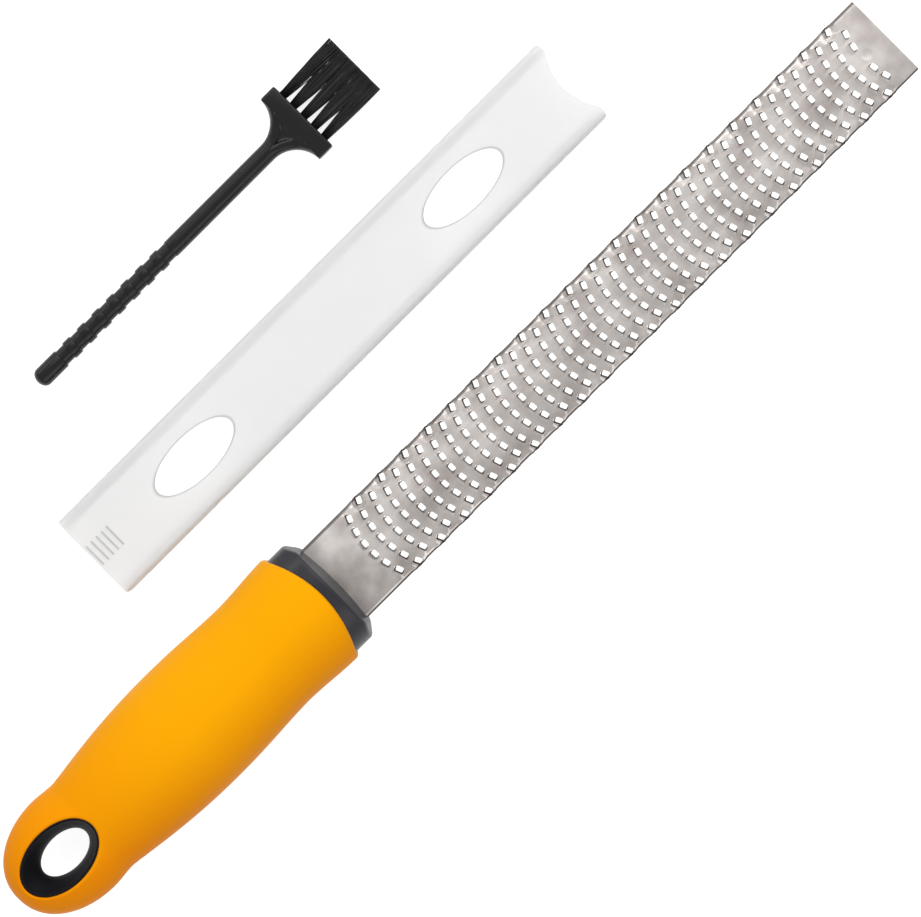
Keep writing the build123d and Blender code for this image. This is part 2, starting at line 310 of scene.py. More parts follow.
class Shade(Nodes):
    """Builds one material's nodes."""

    def __init__(self, name, colour, roughness, **sockets):
        self.material = bpy.data.materials.new(name)
        self.material.use_nodes = True
        super().__init__(self.material.node_tree)
        self.principled = self.tree.nodes["Principled BSDF"]
        self.principled.inputs["Base Color"].default_value = (*colour, 1)
        self.principled.inputs["Roughness"].default_value = roughness
        for socket, value in sockets.items():
            self.principled.inputs[socket.replace("_", " ")].default_value = value

    def feed(self, socket, value):
        self.tree.links.new(value, self.principled.inputs[socket])

    def coordinates(self, scale=(1, 1, 1)):
        source = self.add("ShaderNodeTexCoord").outputs["Object"]
        return self.add("ShaderNodeMapping", {"Vector": source, "Scale": scale}).outputs["Vector"]

    def attribute(self, name):
        return self.add("ShaderNodeAttribute", attribute_name=name).outputs["Fac"]

    def mixed(self, share, none, full):
        """A colour between two, where a colour is three numbers or a socket."""
        ends = [c if isinstance(c, bpy.types.NodeSocket) else (*c, 1) for c in (none, full)]
        inputs = {0: share, 6: ends[0], 7: ends[1]}
        return self.add("ShaderNodeMix", inputs, data_type="RGBA").outputs[2]

    def scaled(self, colour, level):
        inputs = {0: colour, "Scale": level}
        return self.add("ShaderNodeVectorMath", inputs, operation="SCALE").outputs[0]

    def bump(self, height, strength, distance, **normal):
        inputs = {"Height": height, "Strength": strength, "Distance": distance, **normal}
        return self.add("ShaderNodeBump", inputs).outputs["Normal"]


class Field:
    """A value in a node tree that plain arithmetic can be written on."""

    def __init__(self, nodes, socket):
        self.nodes = nodes
        self.socket = socket

    def made(self, operation, *others):
        return Field(self.nodes, self.nodes.maths(operation, self, *others))

    def __add__(self, other):
        return self.made("ADD", other)

    def __sub__(self, other):
        return self.made("SUBTRACT", other)

    def __mul__(self, other):
        return self.made("MULTIPLY", other)

    def __truediv__(self, other):
        return self.made("DIVIDE", other)

    def below(self, other):
        return self.made("LESS_THAN", other)

    def flipped(self):
        """1 where this mask is 0, and 0 where it is 1."""
        return self * -1 + 1

    def held(self, low, high):
        """This value, kept between two others."""
        return self.made("MAXIMUM", low).made("MINIMUM", high)

    def chosen(self, where, other):
        """This value where the mask is 1, the other where it is 0."""
        return where * self + where.flipped() * other


class Tree(Nodes):
    """A geometry node tree with named inputs. An input's kind is that of its value."""

    def __init__(self, name, values):
        super().__init__(bpy.data.node_groups.new(name, "GeometryNodeTree"))
        new_socket = self.tree.interface.new_socket
        for way in ("INPUT", "OUTPUT"):
            new_socket("Geometry", in_out=way, socket_type="NodeSocketGeometry")
        self.values = {}
        for label, value in values.items():
            kind = "NodeSocket" + type(value).__name__.capitalize()
            socket = new_socket(label, in_out="INPUT", socket_type=kind)
            self.values[socket.identifier] = value
        self.start = self.add("NodeGroupInput")

    def given(self, *labels):
        fields = [Field(self, self.start.outputs[label]) for label in labels]
        return fields if len(labels) > 1 else fields[0]

    def index(self):
        return Field(self, self.add("GeometryNodeInputIndex").outputs[0])

    def vector(self, x, y, z):
        return self.add("ShaderNodeCombineXYZ", {"X": x, "Y": y, "Z": z}).outputs[0]

    def placed(self, count, position, shape, **turn_and_size):
        """A copy of an object on each of a number of points."""
        points = self.add("GeometryNodePoints", {"Count": count, "Position": position})
        source = self.add("GeometryNodeObjectInfo", {"Object": shape})
        inputs = {"Points": points.outputs[0], "Instance": source.outputs["Geometry"]}
        return self.add("GeometryNodeInstanceOnPoints", {**inputs, **turn_and_size}).outputs[0]

    def realised(self, geometry):
        return self.add("GeometryNodeRealizeInstances", {"Geometry": geometry}).outputs[0]

    def finish(self, geometry, material):
        inputs = {"Geometry": self.realised(geometry), "Material": material}
        done = self.add("GeometryNodeSetMaterial", inputs)
        self.add("NodeGroupOutput", {0: done.outputs[0]})

    def modify(self, obj):
        modifier = obj.modifiers.new(self.tree.name, "NODES")
        modifier.node_group = self.tree
        for identifier, value in self.values.items():
            modifier[identifier] = value


# Materials


def grain_group():
    """Fine surface grain, on object coordinates: a height for bump and a mask of soft clouds."""
    group = bpy.data.node_groups.new("surface_grain", "ShaderNodeTree")
    new_socket = group.interface.new_socket
    new_socket("Vector", in_out="INPUT", socket_type="NodeSocketVector")
    for name, value in (("Grain Scale", 2500.0), ("Cloud Scale", 60.0)):
        socket = new_socket(name, in_out="INPUT", socket_type="NodeSocketFloat")
        socket.default_value = value
    for name in ("Height", "Cloud"):
        new_socket(name, in_out="OUTPUT", socket_type="NodeSocketFloat")
    nodes = Nodes(group)
    given = nodes.add("NodeGroupInput").outputs
    height = nodes.noise(given["Vector"], given["Grain Scale"], 3.0)
    cloud = nodes.noise(given["Vector"], given["Cloud Scale"], 2.0)
    nodes.add("NodeGroupOutput", {"Height": height, "Cloud": cloud})
    return group


GRAIN = grain_group()


def grained(shade, dark, light, rough, scales, bump, depth=0.0001):
    """Gives a material cloudy colour, cloudy roughness and a fine grain in its bump. Gives
    the colour's socket back."""
    inputs = {"Vector": shade.coordinates(), "Grain Scale": scales[0], "Cloud Scale": scales[1]}
    grain = shade.add("ShaderNodeGroup", inputs, node_tree=GRAIN).outputs
    colour = shade.mixed(grain["Cloud"], dark, light)
    shade.feed("Base Color", colour)
    shade.feed("Roughness", shade.ranged(grain["Cloud"], 0, 1, *rough))
    shade.feed("Normal", shade.bump(grain["Height"], bump, depth))
    return colour


def plain_material(name, colour, roughness, *grain, **sockets):
    """A material with nothing but its grain."""
    shade = Shade(name, colour, roughness, **sockets)
    grained(shade, *grain)
    return shade.material


def grip_material():
    """Yellow soft-touch rubber. Painted shade: deeper orange towards the butt and on the low
    side that faces away from the cover, where less light falls on it."""
    sockets = {"Specular_IOR_Level": 0.2, "Specular_Tint": (1, 0.6, 0.1, 1)}
    shade = Shade("grip_rubber", (0.93, 0.4, 0.004), 0.5, **sockets)
    dark, light = (0.92, 0.38, 0.001), (0.96, 0.4, 0.001)
    cloudy = grained(shade, dark, light, (0.46, 0.58), (2600, 55), 0.12, 0.0002)
    # Painted shade: a deeper orange on the low side facing away from the cover and towards the
    # butt, where the light is weaker.
    leaning = shade.split(shade.add("ShaderNodeNewGeometry").outputs["Normal"])["Y"]
    away = shade.ranged(leaning, -0.1, -1.0, 0.0, 0.8)
    butt = shade.ranged(shade.split(shade.coordinates())["X"], -0.165, -0.1, 1.0, 0.0)
    deep = shade.add("ShaderNodeMath", {0: away, 1: butt}, operation="ADD", use_clamp=True)
    shade.feed("Base Color", shade.mixed(deep.outputs[0], cloudy, (0.87, 0.265, 0.001)))
    return shade.material


def steel_material():
    """Satin stainless sheet: fine rolling lines along the rasp, and a cloudy uneven tone that
    is partly a painted sheen. Painted shade: darker across towards the side away from the
    cover and just in front of the collar, and painted dark on the walls of the teeth and
    the outside of the folds."""
    shade = Shade("rasp_steel", (0.6, 0.55, 0.52), 0.3, Metallic=1.0, Anisotropic=0.35)
    lines = shade.noise(shade.coordinates((14, 1, 1)), 900.0, 3.0)
    plain = shade.coordinates()
    # Partly painted sheen: cloudy areas of lighter and darker steel, for the sheet's uneven tone
    # and its mottled reflections.
    tone_and_painted_sheen = shade.ranged(shade.noise(plain, 120.0, 3.0), 0.3, 0.7)
    colour = shade.mixed(tone_and_painted_sheen, (0.5, 0.45, 0.427), (0.82, 0.775, 0.745))

    # Painted shade: the steel darkens across towards the side away from the cover, and just in
    # front of the collar, where the collar's shadow and reflection fall.
    place = shade.split(plain)
    near, far = ((TOOL.y + side * RASP_WIDTH / 2) * MM for side in (-1, 1))
    across = shade.ranged(place["Y"], near, far, 0.74, 1.0)
    front = (TOOL.x + COLLAR_FRONT) * MM
    collar_painted_shade = shade.ranged(place["X"], front, front + 0.005, 0.66, 1.0)
    colour = shade.scaled(colour, shade.maths("MULTIPLY", across, collar_painted_shade))

    middle = shade.maths("SUBTRACT", place["Y"], TOOL.y * MM)
    turned = shade.attribute("turned")

    def by_side(away, next_to):
        """One value on the side away from the cover, and another next to the cover."""
        return shade.ranged(middle, -0.005, 0.005, away, next_to)

    # Painted shade: the outside of the folds is painted dark, set apart for each side as the light
    # falls on them differently.
    fold = shade.ranged(turned, by_side(0.3, 0.04), by_side(0.5, 0.26))
    fold = shade.maths("MULTIPLY", fold, by_side(1.0, 0.86))
    fold = shade.maths("MULTIPLY", fold, shade.ranged(turned, 0.88, 0.99, 1.0, 0.0))
    # Painted shade: the walls of the teeth's mouths are painted dark, more so towards the rasp's
    # edges, and they and the folds share one dark colour.
    outer = shade.ranged(shade.maths("ABSOLUTE", middle), 0.004, 0.0105, 0.68)
    wall = shade.maths("MULTIPLY", shade.attribute("throat"), outer)
    dark = shade.maths("MAXIMUM", wall, fold)
    shade.feed("Base Color", shade.mixed(dark, colour, (0.06, 0.052, 0.048)))
    shade.feed("Roughness", shade.ranged(lines, 0, 1, 0.22, 0.4))
    swell = shade.bump(shade.noise(plain, 70.0, 1.0), 0.35, 0.001)
    shade.feed("Normal", shade.bump(lines, 0.1, 0.0001, Normal=swell))
    return shade.material


def cover_material():
    """Milky clear plastic, with painted shade: greyer round the windows and along the ribs."""
    shade = Shade("cover_plastic", (0.9, 0.9, 0.9), 0.28, IOR=1.49, Transmission_Weight=0.5)
    dark, light = (0.92, 0.92, 0.92), (0.95, 0.95, 0.95)
    milky = grained(shade, dark, light, (0.24, 0.34), (1500, 40), 0.03)
    maths = shade.maths
    place = shade.split(shade.coordinates())
    along, over = (maths("SUBTRACT", place[i], COVER_MIDDLE[i] * MM) for i in range(2))
    aside = maths("SUBTRACT", maths("ABSOLUTE", along), WINDOW_SPACING / 2 * MM)
    squares = [
        maths("POWER", maths("DIVIDE", value, size / 2 * MM), 2)
        for value, size in ((aside, WINDOW_LENGTH), (over, WINDOW_WIDTH))
    ]
    ring = shade.ranged(maths("SQRT", maths("ADD", *squares)), 1.02, 1.07, 1, 0)

    first, run = FIRST_RIB * MM, (RIB_COUNT - 1) * RIB_PITCH * MM
    beat = maths("SUBTRACT", place["X"], first)
    beat = maths("COSINE", maths("MULTIPLY", beat, 2 * math.pi / (RIB_PITCH * MM)))
    middle = maths("SUBTRACT", place["X"], first + run / 2)
    near = maths("LESS_THAN", maths("ABSOLUTE", middle), run / 2 + 0.0005)
    short = maths("LESS_THAN", maths("ABSOLUTE", over), RIB_LENGTH / 2 * MM)
    ribs = maths("MULTIPLY", maths("MULTIPLY", near, short), shade.ranged(beat, 0.85, 0.5, 1, 0))
    # Painted shade: a greyer tone round the windows and along the ribs stands in for the darkening
    # at their edges.
    painted_edge_shade = maths("MAXIMUM", ring, ribs)
    shade.feed("Base Color", shade.mixed(painted_edge_shade, milky, (0.62, 0.62, 0.62)))
    return shade.material


def bristle_material():
    """Black nylon with streaks along it, a little lighter towards the ends of the bristles."""
    shade = Shade("bristle_nylon", (0.02, 0.02, 0.021), 0.3, Specular_IOR_Level=0.35)
    place = shade.coordinates()
    ends = shade.ranged(shade.split(place)["X"], 0.04, 0.058)
    colour = shade.mixed(ends, (0.009, 0.009, 0.009), (0.012, 0.012, 0.012))
    streaks = shade.noise(shade.coordinates((60, 3000, 3000)), 1.0, 2.0)
    colour = shade.scaled(colour, shade.ranged(streaks, 0.35, 0.68, 0.15, 3))
    shade.feed("Base Color", colour)
    shade.feed("Roughness", shade.ranged(shade.noise(place, 1500.0, 2.0), 0, 1, 0.24, 0.42))
    return shade.material


# The rasp


def tooth_places():
    """Where each tooth's mouth lies along and across the flat sheet, and its turn."""
    places = []
    for pair in range(ROW_PAIRS):
        row = FIRST_ROW + 2 * pair * ROW_PITCH
        places += [(row, (i - (STRAIGHT_ROW - 1) / 2) * SIDE_PITCH) for i in range(STRAIGHT_ROW)]
        row += ROW_PITCH
        places += [(row, (i - (STAGGERED_ROW - 1) / 2) * SIDE_PITCH) for i in range(STAGGERED_ROW)]
    last = FIRST_ROW + 2 * ROW_PAIRS * ROW_PITCH
    places += [(last, i * SIDE_PITCH) for i in LAST_ROW]
    turned = []
    for row, across in places:
        turn = math.asin(across / ROW_RADIUS)
        turned.append((row + ROW_RADIUS * (1 - math.cos(turn)), across, -turn))
    return turned


def tooth_mesh():
    """One tooth above the flat sheet: its ramp and cheeks, then the steep walls of its mouth.
    Gives the points, the faces and how many of the faces belong to the outside."""
    corner = RIM_SIDE - RIM_CORNER
    columns = (-TOOTH_SIDE, -RIM_SIDE, -corner, 0, corner, RIM_SIDE, TOOTH_SIDE)
    points = []
    for along, rise in ((TOOTH_BACK, 0.0), (TOOTH_BACK / 2, RAMP_SHARE), (0.0, 1.0)):
        for across in columns:
            outer = abs(across) == TOOTH_SIDE
            shift = RIM_CORNER if rise == 1 and abs(across) == RIM_SIDE else 0
            points.append((along + shift, across, 0 if outer else rise * TOOTH_HEIGHT))
    wide = len(columns)
    outside = []
    for row in range(2):
        for column in range(wide - 1):
            a = row * wide + column
            outside.append((a, a + wide, a + wide + 1, a + 1))
    rim = [2 * wide + i for i in range(1, wide - 1)]
    inner = THROAT_SIDE - THROAT_CORNER
    foot = len(points)
    for across in (-THROAT_SIDE, -inner, 0, inner, THROAT_SIDE):
        shift = THROAT_CORNER if abs(across) == THROAT_SIDE else 0
        points.append((THROAT_BACK + shift, across, THROAT_DROP))
    throat = [(rim[i], foot + i, foot + i + 1, rim[i + 1]) for i in range(4)]
    ends = ((-1, 2 * wide, rim[0], foot), (1, 3 * wide - 1, rim[-1], foot + 4))
    for sign, edge, top, low in ends:
        base = len(points)
        points += [
            (CHEEK_MIDDLE, sign * TOOTH_SIDE, 0),
            (CHEEK_MIDDLE, sign * RIM_SIDE, CHEEK_SHARE * TOOTH_HEIGHT),
            (CHEEK_END, sign * TOOTH_SIDE, 0),
            (CHEEK_END, sign * RIM_SIDE, 0),
            (CHEEK_END, sign * THROAT_SIDE, 0),
        ]
        cheek = [(edge, base, base + 1, top), (base, base + 2, base + 3, base + 1)]
        wall = [(top, base + 1, low), (base + 1, base + 3, base + 4, low)]
        outside += cheek if sign < 0 else [tuple(reversed(q)) for q in cheek]
        throat += wall if sign < 0 else [tuple(reversed(q)) for q in wall]
    points = [(x - TOOTH_CENTRE, y, z) for x, y, z in points]
    return points, outside + throat, len(outside)


def tooth_outline():
    """The corners that a tooth shares with the sheet round it, in order."""
    corner = RIM_SIDE - RIM_CORNER
    inner = THROAT_SIDE - THROAT_CORNER
    left = [(a, -TOOTH_SIDE) for a in (TOOTH_BACK, TOOTH_BACK / 2, 0, CHEEK_MIDDLE, CHEEK_END)]
    left += [(CHEEK_END, -RIM_SIDE), (CHEEK_END, -THROAT_SIDE)]
    left += [(TOOTH_FRONT - THROAT_CORNER, -THROAT_SIDE), (TOOTH_FRONT, -inner)]
    right = [(a, -b) for a, b in reversed(left)]
    back = [(TOOTH_BACK, b) for b in (RIM_SIDE, corner, 0, -corner, -RIM_SIDE)]
    return [(a - TOOTH_CENTRE, b) for a, b in left + right + back]


def sheet_mesh(places):
    """The sheet laid flat, with an opening for each tooth and lines where it will bend."""
    outline = tooth_outline()
    points = []
    edges = []
    holes = []

    def add_loop(corners):
        start, count = len(points), len(corners)
        points.extend(corners)
        edges.extend((start + i, start + (i + 1) % count) for i in range(count))

    for x, across, turn in places:
        cos, sin = math.cos(turn), math.sin(turn)
        add_loop([Vector((x + a * cos - b * sin, across + a * sin + b * cos)) for a, b in outline])
        holes.append((x, across, cos, sin))

    def inside(p, margin):
        for x, across, cos, sin in holes:
            dx, dy = p[0] - x, p[1] - across
            if max(abs(dx), abs(dy)) > 4:
                continue
            a, b = TOOTH_CENTRE + dx * cos + dy * sin, dy * cos - dx * sin
            raised = TOOTH_BACK - margin < a < CHEEK_END + margin and abs(b) < TOOTH_SIDE + margin
            front = CHEEK_END < a < TOOTH_FRONT + margin and abs(b) < THROAT_SIDE + margin
            chamfer = TOOTH_FRONT + THROAT_SIDE - THROAT_CORNER + margin
            if raised or (front and a + abs(b) < chamfer):
                return True
        return False

    bends = [FLAT_HALF + BEND_RUN * i / BEND_STEPS for i in range(BEND_STEPS + 1)]
    for line in [s * b for b in [EDGE_ROOT] + bends + [WALL_END] for s in (-1, 1)]:
        earlier = None
        for i in range(SHEET_STEPS + 1):
            p = Vector((RASP_SEAT + (RASP_TIP - RASP_SEAT) * i / SHEET_STEPS, line))
            if inside(p, 0.12):
                earlier = None
                continue
            points.append(p)
            now = len(points) - 1
            if earlier is not None:
                between = [(points[earlier] * (1 - t) + p * t) for t in (0.25, 0.5, 0.75)]
                if not any(inside(q, 0.05) for q in between):
                    edges.append((earlier, now))
            earlier = now
    for ring, share in enumerate(DIMPLE_RINGS):
        radius = DIMPLE_RADIUS * share
        spins = [2 * math.pi * (i + ring / 2) / DIMPLE_SIDES for i in range(DIMPLE_SIDES)]
        add_loop([Vector((DIMPLE_X + radius * math.cos(s), radius * math.sin(s))) for s in spins])
    flat, _, triangles = delaunay_2d_cdt(points, edges, [], 0, 0.0001)[:3]
    kept = []
    for triangle in triangles:
        middle = sum((flat[i] for i in triangle), Vector((0, 0))) / 3
        if not inside(middle, -0.002):
            kept.append(tuple(triangle))
    lifted = []
    for x, y in flat:
        away = math.hypot(x - DIMPLE_X, y) / DIMPLE_RADIUS
        bowl = (1 + math.cos(math.pi * away)) / 2 if away < 0.98 else 0
        lifted.append((x, y, -DIMPLE_DEPTH * bowl))
    return lifted, kept


def rasp_tree(tooth, steel):
    """Sets a tooth at every place of the bowed rows, joins them to the sheet and bends its
    sides."""
    values = {
        "Tooth": tooth,
        "Steel": steel,
        "Row Pairs": ROW_PAIRS,
        "Straight Row Teeth": STRAIGHT_ROW,
        "Staggered Row Teeth": STAGGERED_ROW,
        "Last Row Teeth": len(LAST_ROW),
        "First Row": (FIRST_ROW + TOOL.x) * MM,
        "Row Pitch": ROW_PITCH * MM,
        "Side Pitch": SIDE_PITCH * MM,
        "Row Radius": ROW_RADIUS * MM,
        "Flat Half Width": FLAT_HALF * MM,
        "Bend Radius": BEND * MM,
        "Edge Root": EDGE_ROOT * MM,
        "Edge End": EDGE_END * MM,
        "Edge Lean": EDGE_LEAN,
        "Edge Middle": EDGE_MIDDLE * MM,
        "Edge Half": EDGE_HALF * MM,
        "Edge Blend": EDGE_BLEND * MM,
        "Middle Y": TOOL.y * MM,
        "Top Z": (TOOL.z + RASP_TOP) * MM,
    }
    tree = Tree("toothed_sheet", values)
    pairs, straight, staggered, in_last_row = tree.given(
        "Row Pairs", "Straight Row Teeth", "Staggered Row Teeth", "Last Row Teeth"
    )
    first_row, row_pitch, pitch, radius = tree.given(
        "First Row", "Row Pitch", "Side Pitch", "Row Radius"
    )

    # Each tooth's row and its place in the row follow from its number
    in_pair = straight + staggered
    index = tree.index()
    pair = (index / in_pair + 0.0001).made("FLOOR")
    place = index - pair * in_pair
    in_last = pair.below(pairs).flipped()
    in_straight = place.below(straight - 0.5)
    across = (place - straight / 2 + 0.5).chosen(
        in_straight, place - straight - staggered / 2 + 0.5
    )
    half = in_last_row / 2
    last = place - half + place.below(half - 0.5).flipped()
    across = last.chosen(in_last, across) * pitch
    odd = in_straight.flipped() * in_last.flipped()
    turn = (across / radius).made("ARCSINE")
    along = (pair * 2 + odd) * row_pitch + first_row
    along = along + turn.made("COSINE").flipped() * radius
    teeth = tree.placed(
        pairs * in_pair + in_last_row,
        tree.vector(along, across, 0),
        tree.given("Tooth"),
        Rotation=tree.vector(0, 0, turn * -1),
    )
    both = {"Geometry": [tree.realised(teeth), tree.given("Geometry")]}
    joined = tree.add("GeometryNodeJoinGeometry", both).outputs[0]
    weld = {"Geometry": joined, "Distance": 0.00001}
    merged = tree.add("GeometryNodeMergeByDistance", weld).outputs[0]

    # The sides bend down round the folds
    where = tree.split(tree.add("GeometryNodeInputPosition").outputs[0])
    x, y, height = (Field(tree, where[i]) for i in range(3))
    flat_half, bend = tree.given("Flat Half Width", "Bend Radius")
    side = y.made("SIGN")
    reach = y.made("ABSOLUTE")
    past = (reach - flat_half).made("MAXIMUM", 0.0)
    angle = (past / bend).made("MINIMUM", math.pi / 2)
    down = (past - bend * (math.pi / 2)).made("MAXIMUM", 0.0)
    outer = bend + height
    bent_y = reach.made("MINIMUM", flat_half) + outer * angle.made("SINE")
    bent_z = outer * angle.made("COSINE") - bend - down

    # Under the last teeth of the staggered rows the sheet leans instead, out to the fold
    root, end, lean = tree.given("Edge Root", "Edge End", "Edge Lean")
    run = (reach - root).held(0.0, end - root)
    leaning = lean * reach.below(root).flipped()
    far = ((reach - end) / bend).held(0.0, 1.0)
    edge_y = reach.made("MINIMUM", root) + run * lean.made("COSINE")
    edge_y = edge_y + height * leaning.made("SINE")
    edge_y = edge_y + (bent_y - edge_y) * far
    edge_z = run * lean.made("SINE") * -1 + height * leaning.made("COSINE")
    edge_z = edge_z + (bent_z - edge_z) * far
    period = row_pitch * 2
    outermost = pitch * (staggered - 1) / 2
    bow = (outermost / radius).made("ARCSINE").made("COSINE").flipped() * radius
    first = first_row + row_pitch + bow + tree.given("Edge Middle")
    number = ((x - first) / period + 0.5).made("FLOOR")
    off = (x - first - number * period).made("ABSOLUTE") - tree.given("Edge Half")
    share = (off / tree.given("Edge Blend")).flipped().held(0.0, 1.0)
    share = share * (number * -1).below(0.5) * number.below(pairs - 0.5)
    rest = share.flipped()
    bent_y = side * (bent_y * rest + edge_y * share)
    bent_z = bent_z * rest + edge_z * share

    # How far the sheet has turned, which the steel reads to paint shade on the outside of its
    # folds
    brink = ((reach - end) / bend * 1.2 + 0.8).made("MINIMUM", 1.0)
    brink = brink.made("MAXIMUM", leaning / lean * 0.12)
    shade = angle / (math.pi / 2) * rest + brink * share
    turned = tree.add(
        "GeometryNodeStoreNamedAttribute",
        {"Geometry": merged, "Name": "turned", "Value": shade},
        data_type="FLOAT",
        domain="POINT",
    )
    position = tree.vector(x, bent_y + tree.given("Middle Y"), bent_z + tree.given("Top Z"))
    moved = tree.add(
        "GeometryNodeSetPosition", {"Geometry": turned.outputs[0], "Position": position}
    )
    smooth = tree.add("GeometryNodeSetShadeSmooth", {"Geometry": moved.outputs[0]})
    tree.finish(smooth.outputs[0], tree.given("Steel"))
    return tree


def make_rasp():
    """The folded sheet with all its teeth, as one piece with its thickness."""
    points, faces, outside = tooth_mesh()
    tooth = plain_mesh("rasp_tooth", points, faces, place=Vector((0, 0, 0)))
    # The walls of each tooth's mouth are marked, so that the steel paints shade on them.
    throat = tooth.data.attributes.new("throat", "FLOAT", "FACE")
    for i in range(outside, len(faces)):
        throat.data[i].value = 1.0
    rasp = plain_mesh("rasp", *sheet_mesh(tooth_places()), place=Vector((TOOL.x, 0, 0)))
    rasp_tree(tooth, steel_material()).modify(rasp)
    thick = rasp.modifiers.new("sheet_thickness", "SOLIDIFY")
    thick.thickness = SHEET * MM
    thick.offset = -1
    made_plain(rasp)
    rasp.data.set_sharp_from_angle(angle=math.radians(30))
    even = rasp.modifiers.new("even_shading", "WEIGHTED_NORMAL")
    even.keep_sharp = True
    even.weight = 100
    made_plain(rasp)
    bpy.data.objects.remove(tooth)
    return rasp


# The handle


def eased(here, there, x, haste):
    share = min(max((x - here[0]) / (there[0] - here[0]), 0), 1) ** haste
    grown = share * share * (3 - 2 * share)
    return [a + (b - a) * grown for a, b in zip(here[1:], there[1:])]


def handle_size(x):
    """The handle's full width and thickness at a distance from the butt."""
    if x <= BULB[0]:
        s = min(max(x / BULB[0], 0), 1)
        k = (1 - (1 - s) ** 2) ** (1 / BUTT_POWER)
        return BULB[1] * k, BULB[2] * k
    if x <= WAIST[0]:
        return eased(BULB, WAIST, x, 1)
    if x <= BELLY[0]:
        return eased(WAIST, BELLY, x, WAIST_HASTE)
    if x <= NECK[0]:
        return eased(BELLY, NECK, x, BELLY_HASTE)
    return eased(NECK, FLARE, x, 1)


def skin_height(x, y):
    """How far the handle's top stands above its middle plane."""
    width, thickness = handle_size(x)
    if width <= 0:
        return 0.0
    return thickness / 2 * math.sqrt(max(1 - (2 * y / width) ** 2, 0))


def eye_reach(angle):
    return 1 / math.hypot(math.cos(angle) / (EYE_LENGTH / 2), math.sin(angle) / (EYE_WIDTH / 2))


def eye_rays(phis):
    """Directions out of the eye's middle, how far the skin reaches along each, and how much
    its rings crowd towards the edge there."""
    rays = []
    for phi in phis:
        x, y = GRIP_JOIN - EYE_X, handle_size(GRIP_JOIN)[0] / 2 * math.sin(phi)
        rays.append((math.atan2(y, x), math.hypot(y, x), abs(math.sin(phi)) ** 4))
    corner = rays[-1][0]
    for i in range(1, GRIP_ROUND_STEPS):
        angle = corner + (2 * math.pi - 2 * corner) * i / GRIP_ROUND_STEPS
        low, high = 0.0, 40.0
        for _ in range(40):
            middle = (low + high) / 2
            x = EYE_X + middle * math.cos(angle)
            y = middle * math.sin(angle)
            fits = x > 0 and abs(y) < handle_size(x)[0] / 2
            low, high = (middle, high) if fits else (low, middle)
        rays.append((angle, low, 1.0))
    return rays


def eye_rings(rays, sign):
    """One face of the skin from inside the eye, over its rounded rim, out to the edge."""
    points = []
    for row in range(-1, EYE_RIM_STEPS + EYE_RINGS + 1):
        for angle, reach, crowd in rays:
            cos, sin = math.cos(angle), math.sin(angle)
            rim = eye_reach(angle)
            edge = rim + EYE_RIM_ROUNDING
            if row <= EYE_RIM_STEPS:
                bend = max(row, 0) / EYE_RIM_STEPS * math.pi / 2
                r = rim + EYE_RIM_ROUNDING * (1 - math.cos(bend))
                top = skin_height(EYE_X + edge * cos, edge * sin)
                z = top - EYE_RIM_ROUNDING * (1 - math.sin(bend))
                z -= EYE_RIM_DEPTH if row < 0 else 0
            else:
                t = (row - EYE_RIM_STEPS) / EYE_RINGS
                r = edge + (reach - edge) * (t + (math.sin(t * math.pi / 2) - t) * crowd)
                z = skin_height(EYE_X + r * cos, r * sin) if t < 1 or crowd < 1 else 0.0
            points.append((EYE_X + r * cos, r * sin, sign * z))
    return points


def grip_end(s):
    """Where the bowed front of the grip stands, at a share of its half width."""
    y = FLARE[1] / 2 * s
    return GRIP_FRONT - (GRIP_FRONT_RADIUS - math.sqrt(GRIP_FRONT_RADIUS**2 - y**2))


def make_grip():
    """The soft skin: rings round the eye at the butt, then rings along the handle to the lip."""
    phis = [math.pi * (i / GRIP_ACROSS_STEPS - 0.5) for i in range(GRIP_ACROSS_STEPS + 1)]
    rays = eye_rays(phis)
    points = []
    faces = []
    for sign in (1, -1):
        faces += ring_faces(EYE_RIM_STEPS + EYE_RINGS + 2, len(rays), len(points))
        points += eye_rings(rays, sign)
    ring = [(math.sin(p), math.cos(p)) for p in phis]
    ring += [(-s, -c) for s, c in ring[1:-1]]
    start = len(points)
    for step in range(GRIP_ALONG_STEPS + 1):
        for s, c in ring:
            run = grip_end(s) - GRIP_LIP - GRIP_JOIN
            x = GRIP_JOIN + run * step / GRIP_ALONG_STEPS
            width, thickness = handle_size(x)
            points.append((x, width / 2 * s, thickness / 2 * c))
    lip = [(bend, 0.0) for bend in quarter(GRIP_LIP_STEPS)]
    lip += [(math.pi / 2, deep * GRIP_LIP_DEPTH) for deep in (1, 2)]
    for bend, inward in lip:
        for s, c in ring:
            normal = Vector((0, s / FLARE[1], c / FLARE[2])).normalized()
            drop = GRIP_LIP * (1 - math.cos(bend)) + inward
            x = grip_end(s) - GRIP_LIP * (1 - math.sin(bend))
            y, z = FLARE[1] / 2 * s, FLARE[2] / 2 * c
            points.append((x, y - normal.y * drop, z - normal.z * drop))
    faces += ring_faces(GRIP_ALONG_STEPS + 1 + len(lip), len(ring), start)
    return outward(plain_mesh("grip_skin", points, faces), 50)


